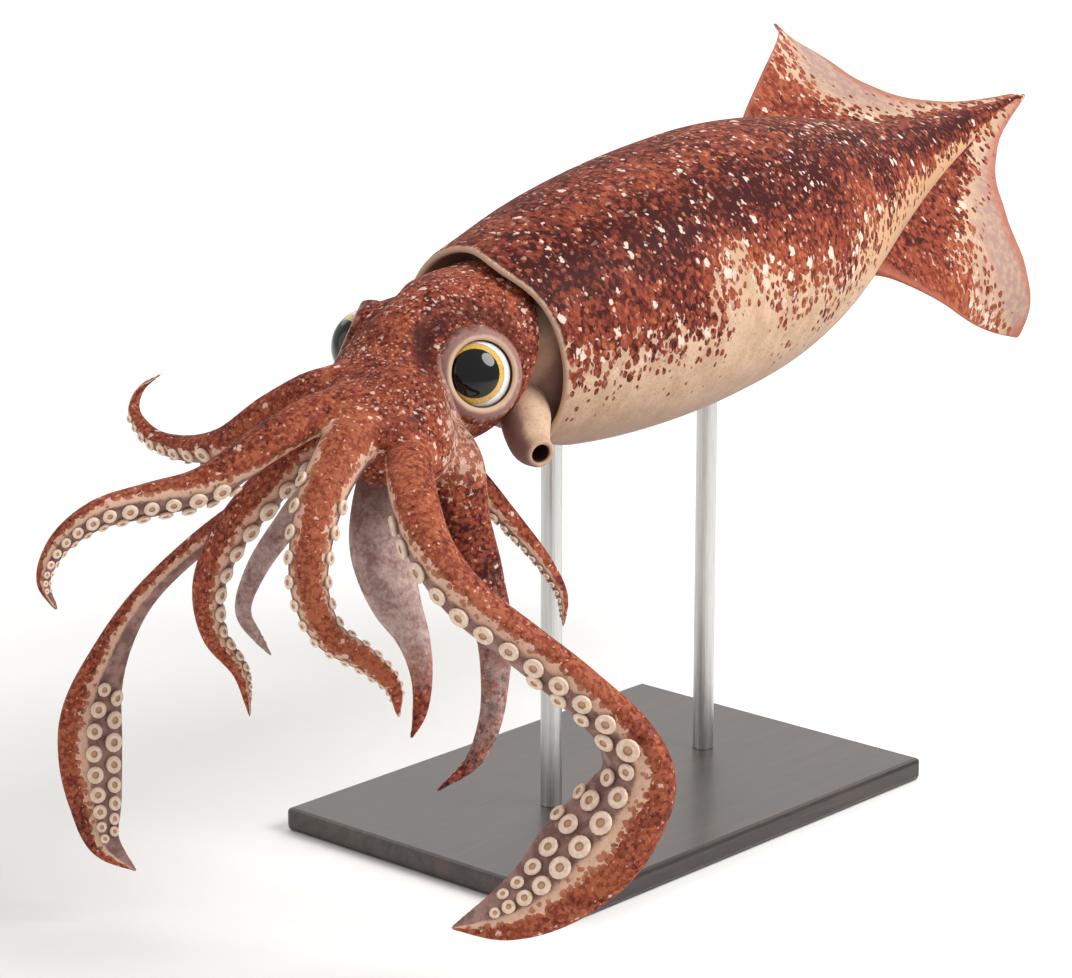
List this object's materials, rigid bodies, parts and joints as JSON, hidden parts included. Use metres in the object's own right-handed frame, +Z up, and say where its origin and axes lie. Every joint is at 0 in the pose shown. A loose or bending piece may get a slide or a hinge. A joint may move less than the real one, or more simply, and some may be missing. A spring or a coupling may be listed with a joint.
{
  "type": "humboldt squid display model",
  "caption": "Life-size still model of a swimming squid with rhomboid tail fins, big eyes, curling suckered arms and clubbed tentacles, on a plain stand.",
  "frame": {"origin": "middle of the stand base's underside, on the floor", "axes": "+Z up; +X along the body towards the tail, which is raised by 9 degrees; the head is at -X and the squid's left side at -Y"},
  "size_m": [1.1638, 0.5366, 0.6114],
  "materials": {
    "mantle": "moist skin, dark maroon back mottled with cream flecks, cream belly",
    "fin": "moist thin skin, rust with cream speckles and a pink edge",
    "head": "moist skin, rust red with orange patches and mauve round the eyes",
    "eye": "wet eye, black pupil in a gold ring with a silvery white",
    "funnel": "moist skin, tan to mauve",
    "arm": "moist skin, rust outside, mauve inside, cream suckers",
    "tentacle": "moist skin, rust outside, mauve inside, cream suckers",
    "stand_base": "dark stained, satin",
    "stand_rod": "brushed"
  },
  "bodies": {
    "root": {"mantle": "mantle", "fin_left": "fin", "fin_right": "fin", "head": "head", "eye_left": "eye", "eye_right": "eye", "funnel": "funnel", "stand_base": "stand_base", "stand_rod_front": "stand_rod", "stand_rod_rear": "stand_rod", "arm_1_left_a": "arm", "arm_1_left_b": "arm", "arm_1_left_c": "arm", "arm_1_right_a": "arm", "arm_1_right_b": "arm", "arm_1_right_c": "arm", "arm_2_left_a": "arm", "arm_2_left_b": "arm", "arm_2_left_c": "arm", "arm_2_right_a": "arm", "arm_2_right_b": "arm", "arm_2_right_c": "arm", "arm_3_left_a": "arm", "arm_3_left_b": "arm", "arm_3_right_a": "arm", "arm_3_right_b": "arm", "arm_4_left_a": "arm", "arm_4_left_b": "arm", "arm_4_left_c": "arm", "arm_4_right_a": "arm", "arm_4_right_b": "arm", "tentacle_left_a": "tentacle", "tentacle_left_b": "tentacle", "tentacle_left_c": "tentacle", "tentacle_left_d": "tentacle", "tentacle_right_a": "tentacle", "tentacle_right_b": "tentacle", "tentacle_right_c": "tentacle", "tentacle_right_d": "tentacle"}
  },
  "joints": []
}
